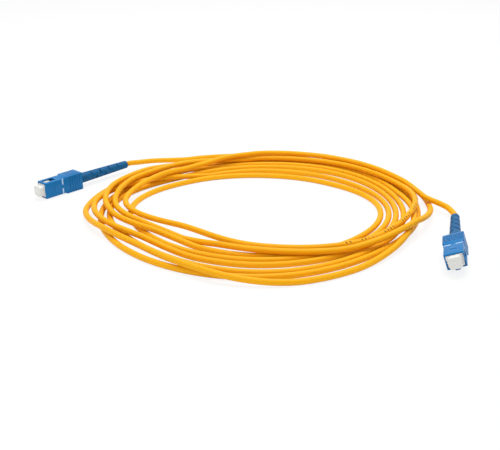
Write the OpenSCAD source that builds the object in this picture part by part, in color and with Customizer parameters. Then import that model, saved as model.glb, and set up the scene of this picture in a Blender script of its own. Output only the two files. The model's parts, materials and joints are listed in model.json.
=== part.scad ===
// Fiber optic patch cord: a round cable wound in loose loops, with a push-pull
// plug at each end. Millimetres. +Z is up, and z = 0 is the surface it lies on.
//
// Each plug is drawn along +X: x = 0 is the rear face of its sliding sleeve and
// the nose points to +X. Y runs across the width and Z through the thickness.

/* [Cable] */
// Outer diameter of the cable jacket
cable_d = 3; // [2.4:0.1:3.2]
// Wall of the cable jacket
jacket_wall = 0.5; // [0.3:0.05:0.7]
// Diameter of the buffered fibre
buffer_d = 0.9; // [0.6:0.05:1]
// Diameter of the bare fibre that is glued into the ferrule
fibre_d = 0.25; // [0.2:0.01:0.4]

/* [Ferrule and spring] */
// Diameter of the ceramic ferrule
ferrule_d = 2.5; // [2.4:0.05:2.6]
// Length of the ceramic ferrule
ferrule_l = 14; // [13:0.5:15]
// How far the ferrule stands past the sleeve's front
ferrule_reach = 0.5; // [0:0.1:1]
// Diameter of the ferrule's flange
flange_d = 4.2; // [3.8:0.1:4.4]
// Length of the ferrule's flange
flange_l = 2; // [1.5:0.1:2.4]
// Diameter of the stem behind the flange
stem_d = 2; // [1.8:0.05:2.2]
// Room left behind the stem when the ferrule is pushed all the way back
stem_play = 0.8; // [0.4:0.1:1.2]
// How far the ferrule can be pushed back against its spring
ferrule_travel = 1.2; // [0.5:0.1:1.4]
// Wire diameter of the ferrule spring
spring_wire = 0.45; // [0.3:0.05:0.5]
// Curls of the ferrule spring
spring_turns = 6; // [4:1:7]

/* [Plug frame] */
// Width of the inner plug frame
frame_w = 7.2; // [6.8:0.1:7.4]
// Thickness of the inner plug frame
frame_h = 5.6; // [5.4:0.1:5.8]
// Rear face of the frame, from the sleeve's rear face
frame_back = 1.8; // [1.8:0.1:2.2]
// How far the frame's hood lies behind the sleeve's front
hood_inset = 7.5; // [7:0.1:8]
// Diameter of the spring chamber and of the hood
chamber_d = 4.6; // [4.5:0.1:4.9]
// Thickness of the shoulder that stops the flange
shoulder_l = 1.5; // [1:0.1:2]
// Depth of the latch notch in each side of the frame
latch_depth = 0.6; // [0.3:0.1:0.8]
// Length of the latch notch
latch_l = 3.5; // [2:0.5:4]

/* [Sliding sleeve] */
// Length of the sleeve
sleeve_l = 24.5; // [24:0.5:26]
// Wall of the sleeve
sleeve_wall = 0.6; // [0.45:0.05:0.8]
// Extra thickness of the grip at the rear, on each face
grip_extra = 0.5; // [0.1:0.05:0.6]
// Length of the grip
grip_l = 10.5; // [9:0.5:12]
// Wall at the sleeve's rear
rear_wall = 1.5; // [1:0.1:1.5]
// Grooves across the grip
groove_count = 5; // [3:1:6]
// Spacing of the grooves
groove_pitch = 1.6; // [1.4:0.1:1.7]
// Width of a groove
groove_w = 0.7; // [0.4:0.1:1]
// Depth of a groove
groove_depth = 0.16; // [0.1:0.02:0.2]
// How far the window in each side lies behind the sleeve's front
window_inset = 1.2; // [1:0.1:3]
// Length of the window
window_l = 7; // [5:0.5:7]
// Width of the window
window_w = 4; // [3:0.1:4.5]
// Width of the key rib
key_w = 2.3; // [1.8:0.1:2.6]
// Height of the key rib
key_h = 1; // [0.6:0.1:1.2]
// Length of the key rib
key_l = 10; // [6:0.5:12]
// How far the sleeve slides back
sleeve_travel = 1.2; // [0.8:0.1:1.4]
// Width of a witness bar, along the plug
mark_w = 0.9; // [0.6:0.1:1.2]
// Length of a witness bar, across the plug
mark_l = 3.2; // [2:0.1:3.4]
// Gap between the two witness bars
mark_gap = 2.2; // [1.5:0.1:2.6]

/* [Stop body, crimp ring and boot] */
// Diameter of the stop body's flange
stop_flange_d = 5.4; // [5:0.1:5.6]
// Length of the stop body's flange
stop_flange_l = 1.5; // [1:0.1:1.5]
// Length of the stop body inside the spring chamber
stop_nose_l = 2.2; // [1.5:0.1:2.2]
// Diameter of the stop body's crimp neck
neck_d = 3.6; // [3.4:0.1:3.7]
// Length of the crimp neck
neck_l = 6; // [5:0.1:7]
// Bore through the stop body
stop_bore = 1.2; // [1.1:0.05:1.4]
// Wall of the crimp ring
crimp_wall = 0.28; // [0.2:0.02:0.3]
// Thickness of the aramid yarn on the neck
yarn_t = 0.1; // [0.06:0.02:0.14]
// Length of the boot
boot_l = 35.2; // [32:0.1:38]
// Diameter of the boot at the sleeve
boot_front_d = 5.7; // [5.4:0.1:5.8]
// Diameter of the boot at its free end
boot_rear_d = 4.5; // [4.2:0.1:4.8]
// Flex slots along the boot
slot_count = 8; // [5:1:8]
// Spacing of the flex slots
slot_pitch = 3.2; // [2.6:0.1:3.3]
// Width of a flex slot
slot_w = 1.1; // [0.6:0.1:1.3]
// Plain end of the boot beyond its last flex slot
slot_inset = 4; // [3:0.1:4.5]

/* [Dust cap] */
// Width of the dust cap's collar, inside the sleeve
cap_collar_w = 7.2; // [6.4:0.1:7.4]
// Width of the dust cap
cap_w = 5.8; // [5.4:0.1:6.4]
// Thickness of the dust cap
cap_h = 5.8; // [5.2:0.1:6]
// Length of the dust cap
cap_l = 9.2; // [8:0.1:10]
// Bevel of the dust cap's long edges
cap_bevel = 1.3; // [0.6:0.1:1.5]

/* [Coil] */
// Centre of the coil from the origin, in X
coil_x = 10.8; // [10.7:0.1:10.9]
// Centre of the coil from the origin, in Y
coil_y = 12; // [11.9:0.1:12.1]
// Rise of a strand that lies straight on another
stack_rise = 3.8; // [3.7:0.1:4]

/* [Hidden] */

// Clearances
slide_gap = 0.3;    // between pieces that slide past each other
fit_gap = 0.02;     // between round pieces pressed together
pin_gap = 0.05;     // between the ferrule and what it runs in
stop_gap = 0.2;     // between pieces that meet end on
edge = 0.5;         // bevel of the grip's edges
nose_edge = 0.4;    // bevel around the sleeve's front
turned_edge = 0.3;  // bevel of the frame's and the turned pieces' edges
eps = 0.01;         // cuts run this far past a face
over = 1;           // and this far where nothing is near
$fn = 48;
strand_sides = 12;

// Ferrule
ferrule_tip = sleeve_l + ferrule_reach;
ferrule_back = ferrule_tip - ferrule_l;
seat_l = 1.8;       // how much of the flange holds the ferrule
flange_front = ferrule_back + seat_l;
flange_back = flange_front - flange_l;
stem_wall_gap = 0.2;
stem_bore = buffer_d + 2 * stem_wall_gap;
glue_gap = 0.03;
capillary_d = fibre_d + 2 * glue_gap;
fibre_tail = 1.4;   // bare fibre behind the ferrule
fibre_back = ferrule_back - fibre_tail;

// Sleeve and frame
cavity_w = frame_w + 2 * slide_gap;
cavity_h = frame_h + 2 * slide_gap;
sleeve_w = cavity_w + 2 * sleeve_wall;
sleeve_h = cavity_h + 2 * sleeve_wall;
grip_w = sleeve_w + 2 * grip_extra;
grip_h = sleeve_h + 2 * grip_extra;
grip_slope = 1;     // length of the slope from the grip to the body
first_groove = 2;
window_end = sleeve_l - window_inset;
boot_gap = 0.35;    // round the boot, in the sleeve's rear wall
frame_front = sleeve_l - hood_inset;
shoulder_back = flange_front + stop_gap;
shoulder_front = shoulder_back + shoulder_l;
latch_front = shoulder_front + 1;
mark_inset = 11.7;  // from the sleeve's front to the witness bars' rear edge
mark_x = sleeve_l - mark_inset;
mark_deep = 0.2;
mark_proud = 0.05;
dimple_l = 2.4;
dimple_w = 3;
dimple_deep = 0.15;
dimple_inset = 6.1;
dimple_x = sleeve_l - dimple_inset;

// Stop body
stop_front = frame_back + stop_nose_l;
stop_back = frame_back - stop_flange_l;
neck_back = stop_back - neck_l;
stem_back = stop_front + ferrule_travel + stem_play;
neck_out_d = neck_d + 2 * yarn_t;

// Boot and what it covers
boot_end = stop_back - boot_l;
boot_plain_l = 5;   // part of the boot next to the sleeve that doesn't taper
collar_l = 1.4;     // plain collar at the boot's free end
tail_gap = 1.5;     // from the neck to the end of the jacket
tail_front = neck_back - tail_gap;
flare_l = 1.4;      // over which the yarn opens out onto the neck
flare_back = neck_back - flare_l;
crimp_grip_l = 4.5; // how far the ring reaches back over the jacket
crimp_back = neck_back - crimp_grip_l;
crimp_inset = 0.5;
crimp_front = stop_back - crimp_inset;
yarn_inset = 0.3;
yarn_front = crimp_front - yarn_inset;
crimp_d = neck_out_d + 2 * (fit_gap + crimp_wall);
yarn_d = cable_d - 2 * jacket_wall - 2 * fit_gap;
jacket_bore = (cable_d - 2 * jacket_wall) / cos(180 / strand_sides);
yarn_bore = buffer_d + 2 * fit_gap;
// The crimp ring steps out where the flaring yarn is as thick as the cable
crimp_step = flare_back + (flare_l - yarn_t) * (cable_d - yarn_d) / (neck_out_d - yarn_d);
boot_bore = cable_d + 2 * fit_gap;
grip_d = cable_d + 2 * (fit_gap + crimp_wall);
// The boot's bore widens in two steps, over the ring's grip and over its neck
socket_d = grip_d + 2 * fit_gap;
wide_socket_d = crimp_d + 2 * fit_gap;
wide_socket_back = crimp_step - crimp_wall - stop_gap;
socket_back = crimp_back - stop_gap;
slot_floor = 0.25;  // wall left between a flex slot and what the boot covers
slot_turn = 45;     // of the first pair of slots, about the boot's axis
first_slot = boot_end + slot_inset;

// Dust cap: it has room to go back with the ferrule
cap_back = frame_front + ferrule_travel + stop_gap;
cap_hole_d = ferrule_d + 2 * pin_gap;
cap_roof = 0.6;     // from the ferrule's tip to the end of the hole
cap_hole_end = ferrule_tip + cap_roof;
collar_front = sleeve_l + stop_gap;
collar_bevel = 0.4; // bevel of the collar's long edges

// Where each plug lies: its place at the sleeve's rear, then yaw, pitch and roll.
// Plug A lies on the narrow side of its grip, plug B on one long edge.
a_place = [-91.74, 44.17, grip_w / 2];
a_turn = [228.2, 0, -90];
b_turn = [-103.6, 3, 21];
b_lift = 0.02 + cos(b_turn[1])
    * ((grip_w / 2 - edge) * sin(b_turn[2]) + grip_h / 2 * cos(b_turn[2]));
b_place = [102.05, -43.9, b_lift];

// Colours that several pieces share
amber = [0.99, 0.72, 0.06];
nickel = [0.76, 0.77, 0.78];

// ---- Shapes -----------------------------------------------------------------

// A section of Y and Z drawn out from x0 to x1
module along_x(x0, x1)
    translate([x0, 0, 0])
    rotate([90, 0, 90])
    linear_extrude(x1 - x0)
    children();

// A polygon of [radius, x] turned about the plug's axis
module turned()
    rotate([0, 90, 0])
    rotate_extrude()
    children();

module rod(x0, x1, d)
    turned()
    polygon([[0, x0], [d / 2, x0], [d / 2, x1], [0, x1]]);

// A thin hidden strand needs few sides
module strand(x0, x1, d)
    along_x(x0, x1)
    circle(d = d, $fn = strand_sides);

// A hidden hollow with few sides, as wide across its flats as it is named
module hollow(x0, x1, d)
    along_x(x0, x1)
    circle(d = d / cos(180 / strand_sides), $fn = strand_sides);

module bevelled(w, h, bevel)
    polygon([
        [-w / 2, -h / 2 + bevel], [-w / 2 + bevel, -h / 2],
        [w / 2 - bevel, -h / 2], [w / 2, -h / 2 + bevel],
        [w / 2, h / 2 - bevel], [w / 2 - bevel, h / 2],
        [-w / 2 + bevel, h / 2], [-w / 2, h / 2 - bevel]]);

// Half of the sleeve's outline from rear to front, for a grip of half size g and
// a body of half size b
function sleeve_half(g, b) = concat(
    [[0, g - edge], [edge, g]],
    [for (i = [0:groove_count - 1])
        let (x = first_groove + i * groove_pitch)
        for (p = [[x, g], [x, g - groove_depth],
                  [x + groove_w, g - groove_depth], [x + groove_w, g]])
            p],
    [[grip_l, g], [grip_l + grip_slope, b],
     [sleeve_l - nose_edge, b], [sleeve_l, b - nose_edge]]);

function mirrored(half) = concat(
    half,
    [for (i = [len(half) - 1:-1:0]) [half[i][0], -half[i][1]]]);

// ---- Plug pieces, drawn along +X --------------------------------------------

module sleeve_shell()
    intersection() {
        along_x(0, sleeve_l)
            bevelled(grip_w, grip_h, edge);
        translate([0, 0, -grip_h])
            linear_extrude(2 * grip_h)
            polygon(mirrored(sleeve_half(grip_w / 2, sleeve_w / 2)));
        rotate([90, 0, 0])
            translate([0, 0, -grip_w])
            linear_extrude(2 * grip_w)
            polygon(mirrored(sleeve_half(grip_h / 2, sleeve_h / 2)));
    }

module key_rib()
    translate([sleeve_l - key_l, -key_w / 2, -sleeve_h / 2 - key_h])
    cube([key_l - nose_edge, key_w, key_h + sleeve_wall / 2]);

// The two bars that line up with the rim of the socket when the plug is home
module witness_bars(deep, proud)
    for (side = [-1, 1])
        translate([mark_x, side * (mark_gap + mark_l) / 2 - mark_l / 2,
                   sleeve_h / 2 - deep])
            cube([mark_w, mark_l, deep + proud]);

module sleeve() {
    difference() {
        union() {
            sleeve_shell();
            key_rib();
        }
        translate([rear_wall, -cavity_w / 2, -cavity_h / 2])
            cube([sleeve_l, cavity_w, cavity_h]);
        rod(-over, rear_wall + eps, boot_front_d + 2 * boot_gap);
        translate([window_end - window_l, -grip_w, -window_w / 2])
            cube([window_l, 2 * grip_w, window_w]);
        witness_bars(mark_deep, over);
        translate([dimple_x, -dimple_w / 2, sleeve_h / 2 - dimple_deep])
            cube([dimple_l, dimple_w, over]);
    }
}

module plug_frame() {
    difference() {
        along_x(frame_back, frame_front)
            bevelled(frame_w, frame_h, turned_edge);
        rod(frame_back - over, shoulder_back, chamber_d);
        rod(shoulder_back - eps, shoulder_front + eps, ferrule_d + 2 * pin_gap);
        rod(shoulder_front, frame_front + over, chamber_d);
        for (side = [-1, 1])
            translate([latch_front - latch_l, side * frame_w / 2 - latch_depth,
                       -window_w / 2])
                cube([latch_l, 2 * latch_depth, window_w]);
    }
}

module ferrule()
    turned()
    polygon([
        [capillary_d / 2, ferrule_back],
        [ferrule_d / 2, ferrule_back],
        [ferrule_d / 2, ferrule_tip - turned_edge],
        [ferrule_d / 2 - turned_edge, ferrule_tip],
        [capillary_d / 2, ferrule_tip]]);

module fibre_core()
    strand(fibre_back, ferrule_tip, fibre_d);

module ferrule_flange() {
    hold = ferrule_d / 2 + fit_gap / 2;
    turned()
        polygon([
            [stem_bore / 2, stem_back],
            [stem_d / 2, stem_back],
            [stem_d / 2, flange_back],
            [flange_d / 2, flange_back],
            [flange_d / 2, flange_front],
            [hold, flange_front],
            [hold, ferrule_back],
            [stem_bore / 2, ferrule_back]]);
}

module stop_body() {
    difference() {
        turned()
            polygon([
                [0, neck_back],
                [neck_d / 2, neck_back],
                [neck_d / 2, stop_back],
                [stop_flange_d / 2, stop_back],
                [stop_flange_d / 2, frame_back],
                [chamber_d / 2 - fit_gap, frame_back],
                [chamber_d / 2 - fit_gap, stop_front],
                [0, stop_front]]);
        rod(neck_back - over, stop_front + over, stop_bore);
    }
}

module crimp_ring() {
    bore = neck_out_d / 2 + fit_gap;
    small = cable_d / 2 + fit_gap;
    turned()
        polygon([
            [small, crimp_back],
            [small + crimp_wall, crimp_back],
            [small + crimp_wall, crimp_step - crimp_wall],
            [crimp_d / 2, crimp_step - crimp_wall],
            [crimp_d / 2, crimp_front],
            [bore, crimp_front],
            [bore, crimp_step],
            [small, crimp_step]]);
}

// The strength yarn: round the fibre in the cable, then flared over the neck
module aramid_yarn() {
    bore = neck_d / 2 + fit_gap / 2;
    turned()
        polygon([
            [yarn_bore / 2, boot_end],
            [yarn_d / 2, boot_end],
            [yarn_d / 2, flare_back],
            [neck_out_d / 2, neck_back - yarn_t],
            [neck_out_d / 2, yarn_front],
            [bore, yarn_front],
            [bore, neck_back - yarn_t / 2],
            [yarn_bore / 2, neck_back - yarn_t / 2]]);
}

module buffered_fibre()
    strand(boot_end, fibre_back - ferrule_travel - stop_gap, buffer_d);

module jacket_tail()
    difference() {
        strand(boot_end, tail_front, cable_d);
        strand(boot_end - over, tail_front + over, jacket_bore);
    }

module boot() {
    difference() {
        turned()
            polygon([
                [0, boot_end],
                [boot_rear_d / 2, boot_end],
                [boot_rear_d / 2, boot_end + collar_l],
                [boot_front_d / 2, stop_back - boot_plain_l],
                [boot_front_d / 2, stop_back],
                [0, stop_back]]);
        hollow(boot_end - over, stop_back + over, boot_bore);
        hollow(socket_back, stop_back + over, socket_d);
        hollow(wide_socket_back, stop_back + over, wide_socket_d);
        for (i = [0:slot_count - 1])
            let (x = first_slot + i * slot_pitch)
            translate([x, 0, 0])
                rotate([slot_turn + 90 * (i % 2), 0, 0])
                flex_slot(boot_hollow_d(x + slot_w) / 2 + slot_floor);
    }
}

// Diameter of the boot's hollow behind a place
function boot_hollow_d(x) =
    x < socket_back ? boot_bore : x < wide_socket_back ? socket_d : wide_socket_d;

// Two cuts across the boot, on either side, down to a radius
module flex_slot(inner)
    for (side = [0, 180])
        rotate([side, 0, 0])
            translate([0, inner, -boot_front_d])
            cube([slot_w, boot_front_d, 2 * boot_front_d]);

module dust_cap() {
    difference() {
        union() {
            along_x(cap_back, collar_front)
                bevelled(cap_collar_w, cap_h, collar_bevel);
            along_x(cap_back, cap_back + cap_l)
                bevelled(cap_w, cap_h, cap_bevel);
        }
        rod(cap_back - over, cap_hole_end, cap_hole_d);
    }
}

// ---- Sweeps -----------------------------------------------------------------

function unit(v) = v / norm(v);

// Direction of the path at point i: along the end segments, between the others
function heading(path, i) =
    i == 0 ? unit(path[1] - path[0])
    : i == len(path) - 1 ? unit(path[i] - path[i - 1])
    : unit(unit(path[i + 1] - path[i]) + unit(path[i] - path[i - 1]));

// Triangles of a closed tube of rings, with flat ends
function tube_faces(rings, sides) =
    let (last = (rings - 1) * sides)
    concat(
        [for (i = [0:rings - 2])
            for (s = [0:sides - 1])
                let (a = i * sides + s)
                let (b = i * sides + (s + 1) % sides)
                for (face = [[a, b, b + sides], [a, b + sides, a + sides]])
                    face],
        [for (s = [1:sides - 2])
            for (face = [[0, s + 1, s], [last, last + s, last + s + 1]])
                face]);

// A closed tube along a path: one ring of `sides` points at each path point, square
// to the path and level with a guide direction that the path never follows
module tube(path, d, sides, guide = [0, 0, 1]) {
    points = [
        for (i = [0:len(path) - 1])
            let (t = heading(path, i))
            let (side = unit(cross(t, guide)))
            let (up = cross(side, t))
            for (s = [0:sides - 1])
                let (turn = 90 + s * 360 / sides)
                path[i] + d / 2 * (cos(turn) * side + sin(turn) * up)];
    polyhedron(points, tube_faces(len(path), sides));
}

// ---- Spring -----------------------------------------------------------------

spring_steps = 8;
spring_play = 0.05;
spring_back = stop_front + spring_wire / 2 + spring_play;
spring_front = flange_back - spring_wire / 2 - spring_play;
spring_r = (flange_d - spring_wire) / 2;
spring_path = [
    for (i = [0:spring_turns * spring_steps])
        let (share = i / (spring_turns * spring_steps))
        let (turn = share * spring_turns * 360)
        [spring_back + share * (spring_front - spring_back),
         spring_r * cos(turn), spring_r * sin(turn)]];

module ferrule_spring()
    tube(spring_path, spring_wire, 6, guide = [1, 0, 0]);

// ---- Coil -------------------------------------------------------------------

// Radius of each turn at eight compass points, clockwise from the back. The hand
// that wound it laid the loops loosely, so the turns cross over each other.
turn_radii = [
    [85, 84, 84, 81, 85, 84.5, 82, 72],
    [73, 79.5, 80, 85.5, 91, 80.5, 91, 69],
    [68.5, 74.5, 76, 77, 80.5, 76.5, 78, 63.5],
    [63, 69, 72, 72.5, 73, 72.5, 86.5, 58.5],
    [56, 60.5, 68, 68.5, 68, 67, 67, 54],
    [48, 52, 63.5, 64, 63.5, 62.5, 81.5, 74.5],
    [80, 88.5, 91, 78.5, 63.5, 58, 76.5, 69.5],
    [71, 78.5, 82.5, 73, 59, 51, 71, 62],
    [72, 81, 88.5, 98, 108]];
radii_before = [102, 93];
knots = concat(radii_before, [for (row = turn_radii) for (r = row) r]);
steps = 72;          // height steps in a turn
compass = 8;         // radii given in a turn
ring_step = 3;       // height steps between two rings
coil_start = -6;     // steps before the back where the coil begins
turns = 8;
end_steps = 15;      // steps past the back where the coil ends
coil_end = turns * steps + end_steps;
reach = 3;           // steps over which a strand rises to cross another
beside = 3.9;        // strands this far apart lie side by side
low = cable_d / 2;   // centre height of a strand on the surface
on_pile = 3 * cable_d / 2;
feet = 3;            // places where the loops touch the surface
foot_gap = 0.2;      // how far they stand off it halfway between two
top_turn = 7;        // turns from this one on lie on the pile

// Radius at a step, on a smooth curve through the knots
function wound_radius(step) =
    let (u = step * compass / steps + len(radii_before))
    let (i = floor(u))
    let (f = u - i)
    let (a = knots[max(i - 1, 0)])
    let (b = knots[i])
    let (c = knots[i + 1])
    let (d = knots[i + 2])
    (2 * b + (c - a) * f + (2 * a - 5 * b + 4 * c - d) * f * f
     + (3 * b - a - 3 * c + d) * f * f * f) / 2;

radius = [for (step = [coil_start:coil_end]) wound_radius(step)];
function radius_at(step) = radius[step - coil_start];

// How much higher a strand lies that crosses another at a sideways distance
function rise(across) =
    abs(across) < beside ? stack_rise * sqrt(1 - pow(across / beside, 2)) : -9;

// Height of a step that rests on every earlier turn below it
function resting(step, done, floor_z) = max(concat(
    [floor_z],
    [for (under = [step - steps:-steps:coil_start])
        if (under - coil_start < len(done))
            let (lift = rise(radius_at(step) - radius_at(under)))
            if (lift > 0) done[under - coil_start] + lift]));

function mean(list) = list * [for (v = list) 1] / len(list);

function stand_off(step) = foot_gap * (1 - cos(feet * step * 360 / steps)) / 2;

// Heights of one turn after the turns already done, eased over a few steps
function turn_heights(turn, done) =
    let (first = coil_start + len(done))
    let (last = min((turn + 1) * steps - 1, coil_end))
    let (from = max(first - 2 * reach, coil_start))
    let (to = min(last + 2 * reach, coil_end))
    let (floor_z = turn < top_turn ? low : on_pile)
    let (raw = [for (step = [from:to]) resting(step, done, floor_z + stand_off(step))])
    let (wide = [for (step = [from:to])
        max([for (s = [max(step - reach, from):min(step + reach, to)]) raw[s - from]])])
    [for (step = [first:last])
        mean([for (s = [max(step - reach, from):min(step + reach, to)]) wide[s - from]])];

function wind(turn, done) =
    coil_start + len(done) > coil_end ? done
    : wind(turn + 1, concat(done, turn_heights(turn, done)));

height = wind(0, []);

function coil_point(step) =
    let (angle = step * 360 / steps)
    [coil_x + radius_at(step) * sin(angle),
     coil_y + radius_at(step) * cos(angle),
     height[step - coil_start]];

wound = [for (step = [coil_start:ring_step:coil_end]) coil_point(step)];
coil_face_a = wound[0] - cable_d * unit(wound[1] - wound[0]);
coil_face_b = wound[len(wound) - 1]
    + cable_d * unit(wound[len(wound) - 1] - wound[len(wound) - 2]);
coil_path = concat([coil_face_a], wound, [coil_face_b]);

// The least gap between two turns, measured on points between the rings
dense = [
    for (i = [0:len(wound) - 2])
        for (part = [0:3])
            wound[i] + (wound[i + 1] - wound[i]) * part / 4];
per_turn = 4 * steps / ring_step;
near = 8;            // points either way that are looked at in another turn
coil_gap = min([
    for (i = [0:len(dense) - 1])
        for (back = [i - per_turn:-per_turn:-near])
            for (j = [max(back - near, 0):min(back + near, i - 2 * near)])
                norm(dense[i] - dense[j])]) - cable_d;
function run_length(path) =
    let (parts = [for (i = [1:len(path) - 1]) norm(path[i] - path[i - 1])])
    parts * [for (p = parts) 1];

module cable_coil() {
    echo(coil_least_gap = coil_gap, coil_length = run_length(coil_path));
    color(amber) tube(coil_path, cable_d, 6);
}

// ---- Leads ------------------------------------------------------------------

// A point behind a boot's free end, on the plug's own axis
function behind(place, turn, distance) =
    place + (boot_end - distance) * plug_axis(turn);
function plug_axis(turn) =
    [cos(turn[0]) * cos(turn[1]), sin(turn[0]) * cos(turn[1]), sin(turn[1])];

// From plug A the cable bends right and slides under the back of the coil
route_a = [
    [-61.4, 76.2, 4.3],
    [-55, 79.8, 3.9],
    [-49.2, 82.9, 3.2],
    [-43.4, 85.9, 2.4]];

// From plug B it bends left, climbs over the outermost loop and lies down on the
// right of the coil
route_b = [
    [110.4, -1, 4],
    [109.1, 3.7, 4.9],
    [106.4, 7.1, 6],
    [103.1, 10.5, 6.95],
    [99.9, 14.9, 7.35],
    [97.9, 20.1, 7.9]];

coil_heading_a = unit(wound[1] - wound[0]);
coil_heading_b = unit(wound[len(wound) - 1] - wound[len(wound) - 2]);
lead_path_a = concat(
    [behind(a_place, a_turn, 0), behind(a_place, a_turn, cable_d)],
    route_a,
    [coil_face_a - cable_d * coil_heading_a, coil_face_a]);
lead_path_b = concat(
    [behind(b_place, b_turn, 0), behind(b_place, b_turn, cable_d)],
    route_b,
    [coil_face_b + cable_d * coil_heading_b, coil_face_b]);

module lead_a()
    color(amber) tube(lead_path_a, cable_d, 8);

module lead_b()
    color(amber) tube(lead_path_b, cable_d, 8);

// ---- Plugs in place ---------------------------------------------------------

module placed(place, turn)
    translate(place)
    rotate([0, 0, turn[0]])
    rotate([0, -turn[1], 0])
    rotate([turn[2], 0, 0])
    children();

module plug_piece(name) {
    if (name == "sleeve") color([0.09, 0.44, 0.72]) sleeve();
    if (name == "witness_marks") color([0.85, 0.92, 0.98]) witness_bars(mark_deep, mark_proud);
    if (name == "plug_frame") color([0.10, 0.38, 0.62]) plug_frame();
    if (name == "ferrule") color([0.95, 0.95, 0.93]) ferrule();
    if (name == "fibre_core") color([0.35, 0.38, 0.42]) fibre_core();
    if (name == "ferrule_flange") color(nickel) ferrule_flange();
    if (name == "ferrule_spring") color([0.66, 0.67, 0.69]) ferrule_spring();
    if (name == "stop_body") color(nickel) stop_body();
    if (name == "crimp_ring") color([0.76, 0.72, 0.62]) crimp_ring();
    if (name == "aramid_yarn") color([0.90, 0.80, 0.38]) aramid_yarn();
    if (name == "buffered_fibre") color([0.93, 0.93, 0.90]) buffered_fibre();
    if (name == "jacket_tail") color(amber) jacket_tail();
    if (name == "boot") color([0.11, 0.37, 0.61]) boot();
    if (name == "dust_cap") color([0.84, 0.84, 0.82]) dust_cap();
}

module at_a(name) placed(a_place, a_turn) plug_piece(name);
module at_b(name) placed(b_place, b_turn) plug_piece(name);

at_a("sleeve");  // sleeve_a
at_a("witness_marks");  // witness_marks_a
at_a("plug_frame");  // plug_frame_a
at_a("ferrule");  // ferrule_a
at_a("fibre_core");  // fibre_core_a
at_a("ferrule_flange");  // ferrule_flange_a
at_a("ferrule_spring");  // ferrule_spring_a
at_a("stop_body");  // stop_body_a
at_a("crimp_ring");  // crimp_ring_a
at_a("aramid_yarn");  // aramid_yarn_a
at_a("buffered_fibre");  // buffered_fibre_a
at_a("jacket_tail");  // jacket_tail_a
at_a("boot");  // boot_a
at_a("dust_cap");  // dust_cap_a
at_b("sleeve");  // sleeve_b
at_b("witness_marks");  // witness_marks_b
at_b("plug_frame");  // plug_frame_b
at_b("ferrule");  // ferrule_b
at_b("fibre_core");  // fibre_core_b
at_b("ferrule_flange");  // ferrule_flange_b
at_b("ferrule_spring");  // ferrule_spring_b
at_b("stop_body");  // stop_body_b
at_b("crimp_ring");  // crimp_ring_b
at_b("aramid_yarn");  // aramid_yarn_b
at_b("buffered_fibre");  // buffered_fibre_b
at_b("jacket_tail");  // jacket_tail_b
at_b("boot");  // boot_b
at_b("dust_cap");  // dust_cap_b
cable_coil();
lead_a();
lead_b();
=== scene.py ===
"""A fiber optic patch cord: an amber cable wound in loose loops, with a blue push-pull
plug at each end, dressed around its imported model. Metres throughout."""

import json
import math

import bmesh
import bpy
from bpy.props import FloatProperty, FloatVectorProperty, IntProperty, PointerProperty
from mathutils import Matrix, Vector


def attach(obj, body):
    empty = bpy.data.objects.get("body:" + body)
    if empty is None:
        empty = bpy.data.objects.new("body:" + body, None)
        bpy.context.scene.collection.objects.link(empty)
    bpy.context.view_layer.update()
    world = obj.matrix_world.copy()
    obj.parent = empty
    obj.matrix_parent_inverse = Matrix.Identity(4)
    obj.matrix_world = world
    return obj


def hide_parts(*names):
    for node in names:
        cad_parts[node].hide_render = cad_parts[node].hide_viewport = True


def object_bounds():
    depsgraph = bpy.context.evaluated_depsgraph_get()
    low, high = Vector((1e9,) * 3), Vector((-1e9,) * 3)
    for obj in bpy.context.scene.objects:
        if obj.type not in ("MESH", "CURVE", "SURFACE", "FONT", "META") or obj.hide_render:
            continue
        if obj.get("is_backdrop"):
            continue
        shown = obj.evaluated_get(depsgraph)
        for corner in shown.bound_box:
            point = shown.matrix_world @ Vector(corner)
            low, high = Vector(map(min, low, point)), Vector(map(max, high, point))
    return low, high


bl_info = {
    "name": "Fiber optic patch cord",
    "version": (1, 0, 0),
    "blender": (4, 5, 0),
    "location": "View3D > Sidebar > Patch Cord",
    "description": "Models a fiber optic patch cord with its plugs and its wound cable",
    "category": "Object",
}

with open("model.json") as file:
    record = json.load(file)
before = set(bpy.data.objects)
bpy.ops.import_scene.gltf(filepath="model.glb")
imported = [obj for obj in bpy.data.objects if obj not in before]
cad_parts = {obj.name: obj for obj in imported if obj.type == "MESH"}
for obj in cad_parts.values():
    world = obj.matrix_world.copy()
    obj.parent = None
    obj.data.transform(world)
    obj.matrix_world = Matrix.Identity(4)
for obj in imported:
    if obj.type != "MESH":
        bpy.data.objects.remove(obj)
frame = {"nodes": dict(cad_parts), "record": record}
CAD_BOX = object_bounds()
SIDES = ("a", "b")
MM = 0.001
FIT_GAP = 0.02 * MM     # round the cable in the boot's bore
BOOT_GAP = 0.35 * MM    # round the boot in the sleeve's rear wall
STOP_GAP = 0.2 * MM     # from the sleeve's front to the end of the cap's collar
TOOL_MARKS = 9000.0     # spots of tool marks to a metre of turned metal
FLOOR_GLOW = 0.84       # share of the floor that shows plain white to the camera


# ---- Where the plugs lie ------------------------------------------------------------


def node_points(node):
    """The corners of a CAD node, in the frame."""
    return [v.co.copy() for v in frame["nodes"][node].data.vertices]


def plug_matrix(side):
    """Turns a plug's own space, +X to its nose and +Z to its marks, into the frame."""
    mount = next(m for m in frame["record"]["mounts"] if m["name"] == f"plug_{side}")
    along = Vector(mount["axis"]).normalized()
    nose = Vector(mount["pos_m"])
    marks = node_points(f"witness_marks_{side}")
    lift = sum(marks, Vector()) / len(marks) - nose
    up = (lift - along * lift.dot(along)).normalized()
    across = up.cross(along)
    turn = Matrix((along, across, up)).transposed().to_4x4()
    length = max(-(p - nose).dot(along) for p in node_points(f"sleeve_{side}"))
    return Matrix.Translation(nose - along * length) @ turn


PLUG = {side: plug_matrix(side) for side in SIDES}


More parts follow.
